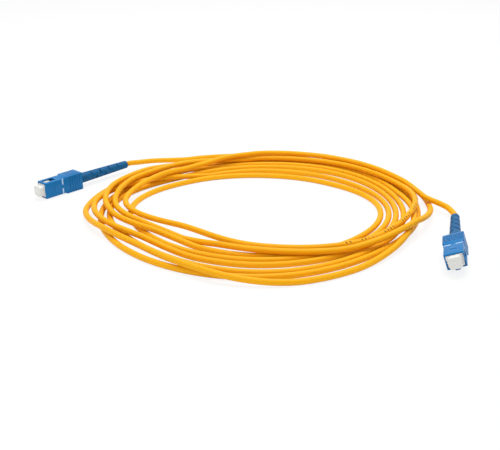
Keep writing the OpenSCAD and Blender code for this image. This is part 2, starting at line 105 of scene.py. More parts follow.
def plug_box(node):
    """Lowest and highest corner of a plug's node, in the plug's own space."""
    back = PLUG[node[-1]].inverted()
    points = [back @ p for p in node_points(node)]
    low = Vector([min(p[i] for p in points) for i in range(3)])
    high = Vector([max(p[i] for p in points) for i in range(3)])
    return low, high


# ---- Settings -----------------------------------------------------------------------


def colour(name, about, default):
    return FloatVectorProperty(
        name=name, description=about, default=default, subtype="COLOR", size=3, min=0, max=1
    )


def length(name, about, millimetres):
    return FloatProperty(
        name=name, description=about, default=millimetres * MM, unit="LENGTH", precision=5
    )


class CableSettings(bpy.types.PropertyGroup):
    diameter: length("Diameter", "Outer diameter of the jacket", 3.0)
    stack_rise: length("Stack rise", "Rise of a strand that lies straight on another", 3.15)
    beside: length("Side by side", "Strands this far apart pass without touching", 3.3)
    sides: IntProperty(name="Sides", description="Sides of the cable's tube", default=20, min=8)
    tint: colour("Jacket", "Colour of the jacket", (0.87, 0.40, 0.003))
    print_tint: colour("Ticks", "Colour of the plain ticks on the jacket", (0.10, 0.035, 0.01))


class PlugSettings(bpy.types.PropertyGroup):
    grip_length: length("Grip", "Length of the thicker grip at the sleeve's rear", 10.5)
    grip_slope: length("Grip slope", "Length of the slope in front of the grip", 1.0)
    body_width: length("Body width", "Width of the sleeve in front of the grip", 9.0)
    body_height: length("Body height", "Thickness of the sleeve in front of the grip", 7.4)
    wall: length("Wall", "Wall of the sleeve", 0.6)
    rear_wall: length("Rear wall", "Wall at the sleeve's rear", 1.5)
    groove_start: length("First groove", "From the sleeve's rear to its first groove", 2.0)
    groove_pitch: length("Groove pitch", "Spacing of the grip's grooves", 1.6)
    groove_width: length("Groove width", "Width of a groove", 0.7)
    groove_depth: length("Groove depth", "Depth of a groove", 0.16)
    groove_count: IntProperty(name="Grooves", description="Grooves across the grip", default=5)
    window_length: length("Window length", "Length of the window in each side", 7.0)
    window_width: length("Window width", "Width of the window in each side", 4.0)
    window_inset: length("Window inset", "From the window to the sleeve's front", 1.2)
    key_width: length("Key width", "Width of the key rib", 2.3)
    key_length: length("Key length", "Length of the key rib", 10.0)
    mark_inset: length("Mark inset", "From the sleeve's front to the marks' rear", 11.7)
    mark_width: length("Mark width", "Width of a witness mark, along the plug", 0.9)
    mark_length: length("Mark length", "Length of a witness mark, across the plug", 3.2)
    mark_gap: length("Mark gap", "Gap between the two witness marks", 2.2)
    boot_taper: length("Boot taper end", "Part of the boot by the sleeve that is straight", 5.0)
    boot_end_diameter: length("Boot end", "Diameter of the boot at its free end", 4.5)
    boot_diameter: length("Boot", "Diameter of the boot at the sleeve", 5.7)
    boot_collar: length("Boot collar", "Length of the collar at the boot's free end", 1.4)
    slot_inset: length("Slot inset", "Plain end beyond the last flex slot", 4.0)
    slot_pitch: length("Slot pitch", "Spacing of the flex slots", 3.2)
    slot_width: length("Slot width", "Width of a flex slot", 1.1)
    slot_floor: length("Slot floor", "Wall left between a slot and what the boot covers", 0.25)
    slot_count: IntProperty(name="Slots", description="Flex slots along the boot", default=8)
    slot_turn: FloatProperty(
        name="Slot turn", description="Turn of the first pair of flex slots about the boot",
        default=math.radians(45), subtype="ANGLE",
    )
    socket_length: length("Socket", "Length of the boot's bore over the crimp ring", 10.7)
    socket_diameter: length("Socket bore", "Diameter of the bore over the ring's grip", 3.64)
    neck_length: length("Neck socket", "Length of the boot's bore over the crimp neck", 7.15)
    neck_diameter: length("Neck bore", "Diameter of the bore over the crimp neck", 4.44)
    cap_width: length("Cap width", "Width of the dust cap in front of the sleeve", 5.8)
    cap_bevel: length("Cap bevel", "Rounding of the dust cap's long edges", 1.3)
    sleeve_tint: colour("Sleeve", "Colour of the sliding sleeves", (0.002, 0.158, 0.42))
    boot_tint: colour("Boot", "Colour of the flexible boots", (0.003, 0.098, 0.25))
    frame_tint: colour("Frame", "Colour of the inner frames", (0.010, 0.125, 0.36))
    mark_tint: colour("Marks", "Colour of the witness marks", (0.42, 0.62, 0.86))
    cap_tint: colour("Cap", "Colour of the dust caps", (0.72, 0.72, 0.69))


class StageSettings(bpy.types.PropertyGroup):
    floor_tint: colour("Floor", "Colour of the floor", (0.92, 0.92, 0.92))
    world_light: FloatProperty(
        name="World light", description="Strength of the even light", default=0.54, min=0
    )
    key_light: FloatProperty(
        name="Key light", description="Power of the lamp overhead", default=8.0, min=0
    )


# ---- Materials ----------------------------------------------------------------------


class Value:
    """A shader socket that can be added, multiplied and so on, which adds the Math nodes."""

    def __init__(self, finish, socket):
        self.finish = finish
        self.socket = socket

    def maths(self, operation, *values):
        return self.finish.node("ShaderNodeMath", {"operation": operation}, *values)

    def __add__(self, other):
        return self.maths("ADD", self, other)

    __radd__ = __add__

    def __mul__(self, other):
        return self.maths("MULTIPLY", self, other)

    __rmul__ = __mul__

    def __sub__(self, other):
        return self.maths("SUBTRACT", self, other)

    def __rsub__(self, other):
        return self.maths("SUBTRACT", other, self)

    def below(self, other):
        return self.maths("LESS_THAN", self, other)

    def above(self, other):
        return self.maths("GREATER_THAN", self, other)

    def size(self):
        return self.maths("ABSOLUTE", self)

    def repeat(self, period):
        return self.maths("FLOORED_MODULO", self, period)


class Finish:
    """A material with one Principled shader, written as Python expressions."""

    def __init__(self, name):
        self.material = bpy.data.materials.new(name)
        self.material.use_nodes = True
        self.tree = self.material.node_tree
        self.shader = self.tree.nodes["Principled BSDF"]

    def node(self, kind, settings, *inputs, out=0, **named):
        """Adds a node, sets it up, fills its sockets and returns one of its outputs."""
        made = self.tree.nodes.new(kind)
        for key, value in settings.items():
            setattr(made, key, value)
        for key, value in [*enumerate(inputs), *named.items()]:
            name = key.replace("_", " ") if isinstance(key, str) else key
            self.feed(made.inputs[name], value)
        return Value(self, made.outputs[out])

    def feed(self, socket, value):
        if isinstance(value, Value):
            self.tree.links.new(value.socket, socket)
        else:
            socket.default_value = value

    def place(self):
        return self.node("ShaderNodeTexCoord", {}, out="Object")

    def uv(self):
        """Distance along the piece and turn around it, each as a value."""
        both = self.node("ShaderNodeTexCoord", {}, out="UV")
        return (
            self.node("ShaderNodeSeparateXYZ", {}, both, out="X"),
            self.node("ShaderNodeSeparateXYZ", {}, both, out="Y"),
        )

    def noise(self, scale, where=None, detail=3.0, roughness=0.5):
        """Even noise from 0 to 1, with spots about 1 / scale metres across."""
        return self.node(
            "ShaderNodeTexNoise", {}, out="Fac", Vector=where or self.place(),
            Scale=scale, Detail=detail, Roughness=roughness,
        )

    def stretched(self, scales):
        """Object coordinates, scaled by a different factor along each axis."""
        return self.node("ShaderNodeMapping", {}, Vector=self.place(), Scale=scales)

    def mix(self, share, first, second):
        """Blends two colours."""
        made = self.tree.nodes.new("ShaderNodeMix")
        made.data_type = "RGBA"
        for name, value in (("Factor", share), ("A", first), ("B", second)):
            sockets = [s for s in made.inputs if s.name == name and s.enabled]
            if not isinstance(value, (Value, float, int)):
                value = (*value, 1)
            self.feed(sockets[0], value)
        return Value(self, next(s for s in made.outputs if s.enabled))

    def bump(self, height, depth, strength):
        """A bump whose full height is depth metres."""
        return self.node(
            "ShaderNodeBump", {}, Strength=strength, Distance=depth, Height=height
        )

    def set(self, **values):
        """Feeds the shader's sockets: Base_Color, Roughness, Normal and so on."""
        for key, value in values.items():
            socket = self.shader.inputs[key.replace("_", " ")]
            if isinstance(value, tuple) and socket.type == "RGBA":
                value = (*value, 1)
            self.feed(socket, value)
        return self.material


def shade(tint, factor):
    return tuple(min(1.0, c * factor) for c in tint)


def jacket_finish(settings):
    """Extruded jacket: satin amber with faint drawing lines and rows of plain ticks."""
    finish = Finish("amber_jacket")
    along, turn = finish.uv()
    tint = tuple(settings.tint)
    cloud = finish.noise(38)
    body = finish.mix(cloud, shade(tint, 0.94), shade(tint, 1.05))
    print_every, print_run = 1.26, 0.086
    print_start, tick_pitch, tick_width = 0.93, 0.0021, 0.0009
    run = (along - print_start).repeat(print_every).below(print_run)
    bars = along.repeat(tick_pitch).below(tick_width)
    gaps = along.repeat(tick_pitch * 7).above(tick_pitch * 1.6)
    print_twist, print_turn, half_band = -0.205, 0.545, 0.062
    roll = (turn - along * print_twist - print_turn).repeat(1.0)
    band = (roll - 0.5).size().below(half_band)
    worn = finish.noise(900, detail=1.0).above(0.40)
    ticks = run * bars * gaps * band * worn
    lines = finish.node(
        "ShaderNodeCombineXYZ", {}, along * 14, turn * 46, 0.0
    )
    drawn = finish.noise(1.0, where=lines, detail=2.0)
    fine = finish.noise(2600, detail=1.0)
    return finish.set(
        Base_Color=finish.mix(ticks * 0.82, body, tuple(settings.print_tint)),
        Roughness=0.42 + cloud * 0.12,
        Normal=finish.bump(drawn + fine * 0.35, 0.00006, 0.5),
        IOR=1.24,
    )


def moulded_finish(name, tint, gloss=0.32, grain=0.00003, scuff=1.0):
    """Moulded plastic: fine spark-eroded grain, faint flow lines and paler rubbed spots."""
    finish = Finish(name)
    flow = finish.noise(120, where=finish.stretched((1.0, 0.35, 1.0)))
    body = finish.mix(flow, shade(tint, 0.90), shade(tint, 1.10))
    rubbed = finish.noise(700, detail=4.0).above(0.66) * (0.10 * scuff)
    grains = finish.noise(5200, detail=2.0)
    return finish.set(
        Base_Color=finish.mix(rubbed, body, (0.45, 0.6, 0.75)),
        Roughness=gloss + flow * 0.12,
        Normal=finish.bump(grains + flow * 0.6, grain, 0.6),
        IOR=1.28,
    )


def boot_finish(settings):
    """Soft boot compound: matt, slightly dusty."""
    finish = Finish("boot_compound")
    tint = tuple(settings.boot_tint)
    dust = finish.noise(420, detail=4.0)
    grains = finish.noise(3600, detail=2.0)
    return finish.set(
        Base_Color=finish.mix(dust, shade(tint, 0.84), shade(tint, 1.14)),
        Roughness=0.46 + dust * 0.16,
        Normal=finish.bump(grains + dust * 0.5, 0.00005, 0.7),
        IOR=1.26,
    )


def cap_finish(settings):
    """Soft milky plastic of the dust caps."""
    finish = Finish("milky_plastic")
    tint = tuple(settings.cap_tint)
    cloud = finish.noise(240, detail=3.0)
    grains = finish.noise(4200, detail=2.0)
    return finish.set(
        Base_Color=finish.mix(cloud, shade(tint, 0.93), shade(tint, 1.05)),
        Roughness=0.40 + cloud * 0.14,
        Normal=finish.bump(grains + cloud, 0.00004, 0.5),
        IOR=1.46,
        Subsurface_Weight=0.25,
        Subsurface_Radius=(0.0012, 0.0011, 0.0010),
    )


def metal_finish(name, tint, gloss=0.26):
    """Turned and plated metal: fine tool rings and a little tarnish."""
    finish = Finish(name)
    tarnish = finish.noise(500, detail=4.0)
    tool = finish.noise(TOOL_MARKS, detail=1.0)
    return finish.set(
        Base_Color=finish.mix(tarnish, shade(tint, 0.82), shade(tint, 1.06)),
        Metallic=1.0,
        Roughness=gloss + tarnish * 0.16,
        Normal=finish.bump(tool, 0.00001, 0.5),
    )


def ceramic_finish():
    """Polished zirconia."""
    finish = Finish("white_ceramic")
    cloud = finish.noise(600)
    return finish.set(
        Base_Color=finish.mix(cloud, (0.84, 0.84, 0.80), (0.90, 0.90, 0.87)),
        Roughness=0.10 + cloud * 0.06,
        IOR=2.1,
    )


def yarn_finish():
    """Aramid yarn: bright yellow strands with a soft sheen."""
    finish = Finish("aramid")
    strands = finish.noise(2400, where=finish.stretched((0.2, 1.0, 1.0)), detail=3.0)
    return finish.set(
        Base_Color=finish.mix(strands, (0.55, 0.40, 0.07), (0.86, 0.70, 0.22)),
        Roughness=0.55 + strands * 0.2,
        Normal=finish.bump(strands, 0.00008, 0.8),
    )


# ---- Mesh helpers -------------------------------------------------------------------


def select_nothing():
    if bpy.context.mode != "OBJECT":
        bpy.ops.object.mode_set(mode="OBJECT")
    bpy.ops.object.select_all(action="DESELECT")


def named(name):
    """Names the new active object, with its place applied to its mesh."""
    piece = bpy.context.active_object
    piece.name = name
    piece.data.name = name
    bpy.ops.object.transform_apply(location=True, rotation=True, scale=True)
    return piece


def added_box(name, low, high):
    """A box between two corners."""
    select_nothing()
    low, high = Vector(low), Vector(high)
    bpy.ops.mesh.primitive_cube_add(size=1, location=(low + high) / 2, scale=high - low)
    return named(name)


def added_rod(name, x0, x1, radius, sides=48):
    """A cylinder along X."""
    select_nothing()
    bpy.ops.mesh.primitive_cylinder_add(
        vertices=sides, radius=radius, depth=x1 - x0,
        location=((x0 + x1) / 2, 0, 0), rotation=(0, math.pi / 2, 0),
    )
    return named(name)


def pick(piece, mode, wanted):
    """Enters edit mode with only the wanted faces or edges selected."""
    select_nothing()
    piece.select_set(True)
    bpy.context.view_layer.objects.active = piece
    bpy.ops.object.mode_set(mode="EDIT")
    bpy.ops.mesh.select_mode(type=mode)
    bpy.ops.mesh.select_all(action="DESELECT")
    mesh = bmesh.from_edit_mesh(piece.data)
    parts = {"FACE": mesh.faces, "EDGE": mesh.edges, "VERT": mesh.verts}[mode]
    for part in parts:
        part.select_set(bool(wanted(part)))
    mesh.select_flush_mode()
    bmesh.update_edit_mesh(piece.data)


def done():
    bpy.ops.object.mode_set(mode="OBJECT")


def apply_modifier(piece, kind, **settings):
    """Adds one modifier, sets it and applies it."""
    select_nothing()
    piece.select_set(True)
    bpy.context.view_layer.objects.active = piece
    modifier = piece.modifiers.new(kind.title(), kind)
    for key, value in settings.items():
        setattr(modifier, key, value)
    bpy.ops.object.modifier_apply(modifier=modifier.name)


def cut(piece, tool, operation="DIFFERENCE"):
    """Takes a tool's volume out of a piece, or adds it, and removes the tool."""
    apply_modifier(piece, "BOOLEAN", operation=operation, solver="EXACT", object=tool)
    bpy.data.objects.remove(tool)


def tidy(piece, angle=30.0):
    """Merges doubles, points the faces outwards and smooths the rounded edges."""
    pick(piece, "FACE", lambda face: True)
    bpy.ops.mesh.remove_doubles(threshold=1e-7)
    bpy.ops.mesh.normals_make_consistent(inside=False)
    done()
    select_nothing()
    piece.select_set(True)
    bpy.context.view_layer.objects.active = piece
    bpy.ops.object.shade_smooth_by_angle(angle=math.radians(angle))


def rounded(piece, width, segments=3, angle=40.0):
    """Rounds the edges that turn by more than an angle."""
    apply_modifier(
        piece, "BEVEL", width=width, segments=segments, limit_method="ANGLE",
        angle_limit=math.radians(angle), use_clamp_overlap=True, miter_outer="MITER_ARC",
    )


def bisected(piece, places):
    """Cuts loops across a piece at distances along X."""
    pick(piece, "FACE", lambda face: True)
    for place in places:
        bpy.ops.mesh.select_all(action="SELECT")
        bpy.ops.mesh.bisect(plane_co=(place, 0, 0), plane_no=(1, 0, 0))
    done()


def resized(piece, wanted, across, upright):
    """Scales the wanted corners away from the X axis."""
    pick(piece, "VERT", wanted)
    bpy.ops.transform.resize(value=(1, across, upright), center_override=(0, 0, 0))
    done()


def turned(name, stations, sides=64):
    """A closed solid turned about X through stations of (distance, radius)."""
    first, last = stations[0], stations[-1]
    piece = added_rod(name, first[0], last[0], first[1], sides)
    bisected(piece, [x for x, _ in stations[1:-1]])
    for x, radius in stations[1:]:
        share = radius / first[1]
        resized(piece, lambda corner, x=x: abs(corner.co.x - x) < 1e-6, share, share)
    return piece


def joined(pieces):
    """Makes one object of several that don't touch."""
    select_nothing()
    for piece in pieces:
        piece.select_set(True)
    bpy.context.view_layer.objects.active = pieces[0]
    if len(pieces) > 1:
        bpy.ops.object.join()
    return pieces[0]


def both_sides(pieces):
    """The pieces and their copies on the other side of the X axis."""
    copies = []
    for piece in pieces:
        copy = piece.copy()
        copy.data = piece.data.copy()
        copy.data.transform(Matrix.Rotation(math.pi, 4, "X"))
        bpy.context.scene.collection.objects.link(copy)
        copies.append(copy)
    return pieces + copies


def put_on_plugs(piece, name, body, node, finish):
    """Copies a piece from the plug's own space onto both plugs, in place of a CAD node."""
    for side in SIDES:
        copy = piece.copy()
        copy.data = piece.data.copy()
        copy.name = f"{name}_{side}"
        copy.data.name = copy.name
        copy.data.transform(PLUG[side])
        bpy.context.scene.collection.objects.link(copy)
        copy.data.materials.clear()
        copy.data.materials.append(finish)
        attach(copy, body if body == "cord" else f"{body}_{side}")
        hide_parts(f"{node}_{side}")
    bpy.data.objects.remove(piece)


# ---- Cable --------------------------------------------------------------------------

# Radius of each turn at eight compass points, in millimetres, clockwise from the back
TURN_RADII = [
    [85, 84, 84, 81, 85, 84.5, 82, 72],
    [73, 79.5, 80, 85.5, 91, 80.5, 91, 69],
    [68.5, 74.5, 76, 77, 80.5, 76.5, 78, 63.5],
    [63, 69, 72, 72.5, 73, 72.5, 86.5, 58.5],
    [56, 60.5, 68, 68.5, 68, 67, 67, 54],
    [48, 52, 63.5, 64, 63.5, 62.5, 81.5, 74.5],
    [80, 88.5, 91, 78.5, 63.5, 58, 76.5, 69.5],
    [71, 78.5, 82.5, 73, 59, 51, 71, 62],
    [72, 81, 88.5, 98, 108],
]
RADII_BEFORE = [102, 93]
COIL_CENTRE = (10.8, 12)
STEPS = 72
COIL_START = -6
COIL_END = 8 * STEPS + 15
EASE = 2
TOP_TURN = 7

# The free stretches, in millimetres: from boot A to the coil, and from boot B to it
ROUTE_A = [(-61.4, 76.2, 4.3), (-55, 79.8, 3.9), (-49.2, 82.9, 3.2), (-43.4, 85.9, 2.4)]
ROUTE_B = [
    (110.4, -1, 3.6), (109.1, 3.7, 3.9), (106.4, 7.1, 4.4), (103.1, 10.5, 4.8),
    (99.9, 14.9, 5.1), (97.9, 20.1, 5.6),
]


def blended(a, b, c, d, share):
    """A smooth curve's value between b and c, for numbers or vectors."""
    return (
        2 * b + (c - a) * share + (2 * a - 5 * b + 4 * c - d) * share**2
        + (3 * b - a - 3 * c + d) * share**3
    ) * 0.5


def wound_radii():
    """The coil's radius at each step."""
    knots = RADII_BEFORE + [r for row in TURN_RADII for r in row]
    radii = {}
    for step in range(COIL_START, COIL_END + 1):
        place = step * 8 / STEPS + len(RADII_BEFORE)
        i = math.floor(place)
        near = (knots[max(i - 1, 0)], knots[i], knots[i + 1], knots[i + 2])
        radii[step] = blended(*near, place - i) * MM
    return radii


def wound_heights(radii, cable):
    """The height at each step: every turn lies on the earlier ones that it crosses."""
    low, heights = cable.diameter / 2, {}

    def eased(values, pick_one):
        return {
            s: pick_one([values[n] for n in range(s - EASE, s + EASE + 1) if n in values])
            for s in values
        }

    for turn in range(math.ceil(COIL_END / STEPS) + 1):
        first = COIL_START if turn == 0 else turn * STEPS
        last = min((turn + 1) * STEPS - 1, COIL_END)
        window = range(max(first - 2 * EASE, COIL_START), min(last + 2 * EASE, COIL_END) + 1)
        raw = {}
        for step in window:
            raw[step] = low if turn < TOP_TURN else 3 * low
            for under in range(step - STEPS, COIL_START - 1, -STEPS):
                across = abs(radii[step] - radii[under]) / cable.beside
                if under in heights and across < 1:
                    lift = cable.stack_rise * math.sqrt(1 - across**2)
                    raw[step] = max(raw[step], heights[under] + lift)
        wide = eased(raw, max)
        level = eased(wide, lambda values: sum(values) / len(values))
        heights.update({s: level[s] for s in range(first, last + 1) if s in level})
    return heights


def cable_route(cable):
    """The cable's centre line from boot A, round the coil, to boot B."""
    radii = wound_radii()
    heights = wound_heights(radii, cable)
    coil = []
    for step in range(COIL_START, COIL_END + 1):
        angle = math.tau * step / STEPS
        coil.append(Vector((
            COIL_CENTRE[0] * MM + radii[step] * math.sin(angle),
            COIL_CENTRE[1] * MM + radii[step] * math.cos(angle),
            heights[step],
        )))

    def out_of(side):
        end = plug_box(f"boot_{side}")[0].x
        return [PLUG[side] @ Vector((end - d, 0, 0)) for d in (0, cable.diameter)]

    lead_a = out_of("a") + [Vector(p) * MM for p in ROUTE_A]
    lead_b = out_of("b") + [Vector(p) * MM for p in ROUTE_B]
    return lead_a + coil + lead_b[::-1]


def smoothed(points, spacing):
    """Points on a smooth curve through the given ones, about a spacing apart."""
    ends = [2 * points[0] - points[1], *points, 2 * points[-1] - points[-2]]
    line = []
    for i in range(1, len(ends) - 2):
        parts = max(1, round((ends[i + 1] - ends[i]).length / spacing))
        for part in range(parts):
            line.append(blended(*ends[i - 1:i + 3], part / parts))
    return [*line, points[-1]]


def tube(name, line, radius, sides):
    """A closed tube along a line, whose UV map holds metres along it and turns round it."""
    mesh = bmesh.new()
    uv = mesh.loops.layers.uv.new("UVMap")
    rings, run, runs = [], 0.0, []
    for i, point in enumerate(line):
        before, after = line[max(i - 1, 0)], line[min(i + 1, len(line) - 1)]
        along = (after - before).normalized()
        side = along.cross(Vector((0, 0, 1))).normalized()
        up = side.cross(along)
        rings.append([
            mesh.verts.new(point + radius * (side * math.cos(a) + up * math.sin(a)))
            for a in (math.tau * s / sides for s in range(sides))
        ])
        run += (point - line[max(i - 1, 0)]).length
        runs.append(run)
    for i in range(len(rings) - 1):
        for s in range(sides):
            t = (s + 1) % sides
            face = mesh.faces.new((rings[i][s], rings[i][t], rings[i + 1][t], rings[i + 1][s]))
            corners = ((i, s), (i, s + 1), (i + 1, s + 1), (i + 1, s))
            for loop, (ring, turn) in zip(face.loops, corners):
                loop[uv].uv = (runs[ring], turn / sides)
            face.smooth = True
    mesh.faces.new(rings[0][::-1])
    mesh.faces.new(rings[-1])
    bmesh.ops.recalc_face_normals(mesh, faces=mesh.faces)
    data = bpy.data.meshes.new(name)
    mesh.to_mesh(data)
    mesh.free()
    piece = bpy.data.objects.new(name, data)
    bpy.context.scene.collection.objects.link(piece)
    return piece


def line_length(line):
    return sum((b - a).length for a, b in zip(line, line[1:]))


# ---- Operators ----------------------------------------------------------------------


class PATCHCORD_OT_stage(bpy.types.Operator):
    """Set up the camera, the pale floor and the soft light"""

    bl_idname = "patchcord.stage"
    bl_label = "Stage"

    def execute(self, context):
        settings = context.scene.patch_stage
        context.scene.view_settings.view_transform = "Standard"
        self.add_camera(context)
        self.add_floor(settings)
        self.add_lamps(settings)
        self.light_world(context, settings)
        return {"FINISHED"}

    @staticmethod
    def add_camera(context):
        """The camera looks along +Y and down at the coil."""
        foot, height, down = (0.0061, -0.3812), 0.157, 23.0
        bpy.ops.object.camera_add(
            location=(*foot, height), rotation=(math.radians(90 - down), 0, 0)
        )
        camera = context.active_object
        camera.name = "camera"
        camera.data.lens = 56.95
        context.scene.camera = camera

    @staticmethod
    def add_floor(settings):
        """A wide floor that shows white to the camera and keeps a soft shadow."""
        select_nothing()
        bpy.ops.mesh.primitive_plane_add(size=8, location=(0, 0, 0))
        floor = named("floor")
        finish = Finish("pale_floor")
        finish.set(Base_Color=tuple(settings.floor_tint), Roughness=0.9)
        seen = finish.node("ShaderNodeLightPath", {}, out="Is Camera Ray")
        glow = finish.node("ShaderNodeEmission", {}, Color=(1, 1, 1, 1), Strength=1.0)
        plain = Value(finish, finish.shader.outputs[0])
        share = finish.node("ShaderNodeMixShader", {}, seen * FLOOR_GLOW, plain, glow)
        finish.feed(finish.tree.nodes["Material Output"].inputs["Surface"], share)
        floor.data.materials.append(finish.material)
        floor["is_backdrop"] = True

    @staticmethod
    def add_lamps(settings):
        """A wide soft lamp overhead and a weaker one from the left front."""
        for name, spot, size, power in (
            ("overhead", (0.10, 0.25, 0.9), 0.7, settings.key_light),
            ("front_fill", (-0.6, -0.8, 0.7), 0.9, settings.key_light * 0.35),
        ):
            bpy.ops.object.light_add(type="AREA", location=spot)
            lamp = bpy.context.active_object
            lamp.name = name
            lamp.data.size = size
            lamp.data.energy = power
            aim = Vector((0.01, 0.01, 0)) - Vector(spot)
            lamp.rotation_euler = aim.to_track_quat("-Z", "Y").to_euler()

    @staticmethod
    def light_world(context, settings):
        """Even white light; the background itself is white."""
        world = bpy.data.worlds.new("studio")
        context.scene.world = world
        world.use_nodes = True
        tree = world.node_tree
        tree.nodes.clear()
        path = tree.nodes.new("ShaderNodeLightPath")
        even = tree.nodes.new("ShaderNodeBackground")
        even.inputs["Strength"].default_value = settings.world_light
        white = tree.nodes.new("ShaderNodeBackground")
        white.inputs["Strength"].default_value = 1.0
        for background in (even, white):
            background.inputs["Color"].default_value = (1, 1, 1, 1)
        either = tree.nodes.new("ShaderNodeMath")
        either.operation = "MAXIMUM"
        mix = tree.nodes.new("ShaderNodeMixShader")
        out = tree.nodes.new("ShaderNodeOutputWorld")
        tree.links.new(path.outputs["Is Camera Ray"], either.inputs[0])
        tree.links.new(path.outputs["Is Glossy Ray"], either.inputs[1])
        tree.links.new(either.outputs[0], mix.inputs["Fac"])
        tree.links.new(even.outputs[0], mix.inputs[1])
        tree.links.new(white.outputs[0], mix.inputs[2])
        tree.links.new(mix.outputs[0], out.inputs["Surface"])


class PATCHCORD_OT_cable(bpy.types.Operator):
    """Lay the cable from boot to boot through the wound coil"""

    bl_idname = "patchcord.cable"
    bl_label = "Cable"

    def execute(self, context):
        cable = context.scene.patch_cable
        line = smoothed(cable_route(cable), 3.0 * MM)
        piece = tube("cable", line, cable.diameter / 2, cable.sides)
        piece.data.materials.append(jacket_finish(cable))
        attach(piece, "cord")
        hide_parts("cable_coil", "lead_a", "lead_b")
        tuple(line[0])
        line_length(line)
        return {"FINISHED"}


class PATCHCORD_OT_sleeves(bpy.types.Operator):
    """Mould the sliding sleeves with their grips, windows and key ribs"""

    bl_idname = "patchcord.sleeves"
    bl_label = "Sleeves"

    def execute(self, context):
        plug = context.scene.patch_plug
        low, high = plug_box("sleeve_b")
        sleeve = self.shell(plug, high.x)
        cut(sleeve, self.key_rib(plug, low.z, high.x), "UNION")
        cut(sleeve, self.cavity(plug, high.x))
        cut(sleeve, self.rear_hole(plug))
        cut(sleeve, self.windows(plug, high.x))
        cut(sleeve, self.grooves(plug, low, high))
        for tool in self.pockets(plug, high.x):
            cut(sleeve, tool)
        rounded(sleeve, 0.07 * MM, segments=2, angle=50)
        tidy(sleeve)
        finish = moulded_finish("blue_sleeve", tuple(plug.sleeve_tint), gloss=0.24)
        put_on_plugs(sleeve, "grip_sleeve", "grip", "sleeve", finish)
        return {"FINISHED"}

    @staticmethod
    def shell(plug, front):
        """The outside: a rounded box that swells into the grip at its rear."""
        half = Vector((0, plug.body_width / 2, plug.body_height / 2))
        shell = added_box("sleeve", -half, half + Vector((front, 0, 0)))
        bisected(shell, [plug.grip_length, plug.grip_length + plug.grip_slope])
        low, high = plug_box("sleeve_b")
        resized(
            shell, lambda corner: corner.co.x < plug.grip_length + 1e-6,
            high.y / half.y, high.z / half.z,
        )
        rounded(shell, 0.42 * MM, segments=4)
        return shell

    @staticmethod
    def key_rib(plug, bottom, front):
        """The rib on the sleeve's underside that keys the plug."""
        half = plug.key_width / 2
        inside = -plug.body_height / 2 + plug.wall / 2
        rib = added_box(
            "rib", (front - plug.key_length, -half, bottom), (front - 0.4 * MM, half, inside)
        )
        rounded(rib, 0.2 * MM)
        return rib

    @staticmethod
    def cavity(plug, front):
        half = Vector((0, plug.body_width / 2 - plug.wall, plug.body_height / 2 - plug.wall))
        start = Vector((plug.rear_wall, 0, 0))
        hollow = added_box("cavity", start - half, half + Vector((front + 3 * MM, 0, 0)))
        rounded(hollow, 0.3 * MM)
        return hollow

    @staticmethod
    def rear_hole(plug):
        radius = plug.boot_diameter / 2 + BOOT_GAP
        past = 0.2 * MM
        return added_rod("hole", -MM, plug.rear_wall + past, radius)

    @staticmethod
    def windows(plug, front):
        """One bar through both sides makes the two windows."""
        end = front - plug.window_inset
        half = plug.window_width / 2
        far = 10 * MM
        bar = added_box("window", (end - plug.window_length, -far, -half), (end, far, half))
        pick(bar, "EDGE", lambda edge: abs(edge.verts[0].co.y - edge.verts[1].co.y) > MM)
        bpy.ops.mesh.bevel(offset=0.5 * MM, segments=4, affect="EDGES")
        done()
        return bar

    @staticmethod
    def grooves(plug, low, high):
        """Square rings that reach a groove's depth into the grip."""
        rings = []
        for i in range(plug.groove_count):
            start = plug.groove_start + i * plug.groove_pitch
            end = start + plug.groove_width
            far = Vector((0, MM, MM))
            ring = added_box("groove", (start, *(low - far).yz), (end, *(high + far).yz))
            core = added_box(
                "core",
                (start - MM, low.y + plug.groove_depth, -high.z + plug.groove_depth),
                (end + MM, high.y - plug.groove_depth, high.z - plug.groove_depth),
            )
            rounded(core, 0.3 * MM)
            cut(ring, core)
            rings.append(ring)
        return joined(rings)

    @staticmethod
    def pockets(plug, front):
        """The pockets of the witness marks and the shallow dimple before them."""
        top = plug.body_height / 2
        rear = front - plug.mark_inset
        middle = (plug.mark_gap + plug.mark_length) / 2
        pocket_depth, dimple_depth, dimple_half = 0.2 * MM, 0.15 * MM, 1.5 * MM
        dimple_rear, dimple_front = front - 6.1 * MM, front - 3.7 * MM
        for side in (-1, 1):
            low_y = side * middle - plug.mark_length / 2
            yield added_box(
                "pocket", (rear, low_y, top - pocket_depth),
                (rear + plug.mark_width, low_y + plug.mark_length, top + MM),
            )
        dimple = added_box(
            "dimple", (dimple_rear, -dimple_half, top - dimple_depth),
            (dimple_front, dimple_half, top + MM),
        )
        pick(dimple, "EDGE", lambda edge: abs(edge.verts[0].co.z - edge.verts[1].co.z) > MM / 2)
        bpy.ops.mesh.bevel(offset=0.6 * MM, segments=5, affect="EDGES")
        done()
        yield dimple


class PATCHCORD_OT_marks(bpy.types.Operator):
    """Print the witness marks on the sleeves"""

    bl_idname = "patchcord.marks"
    bl_label = "Witness marks"

    def execute(self, context):
        plug = context.scene.patch_plug
        low, high = plug_box("witness_marks_b")
        bars = []
        for near in (low.y, high.y - plug.mark_length):
            bars.append(added_box(
                "bar", (low.x, near, low.z), (high.x, near + plug.mark_length, high.z)
            ))
        marks = joined(bars)
        rounded(marks, 0.04 * MM, segments=2)
        tidy(marks)
        finish = moulded_finish("pale_mark", tuple(plug.mark_tint), gloss=0.35, scuff=0.3)
        put_on_plugs(marks, "witness_bars", "grip", "witness_marks", finish)
        return {"FINISHED"}


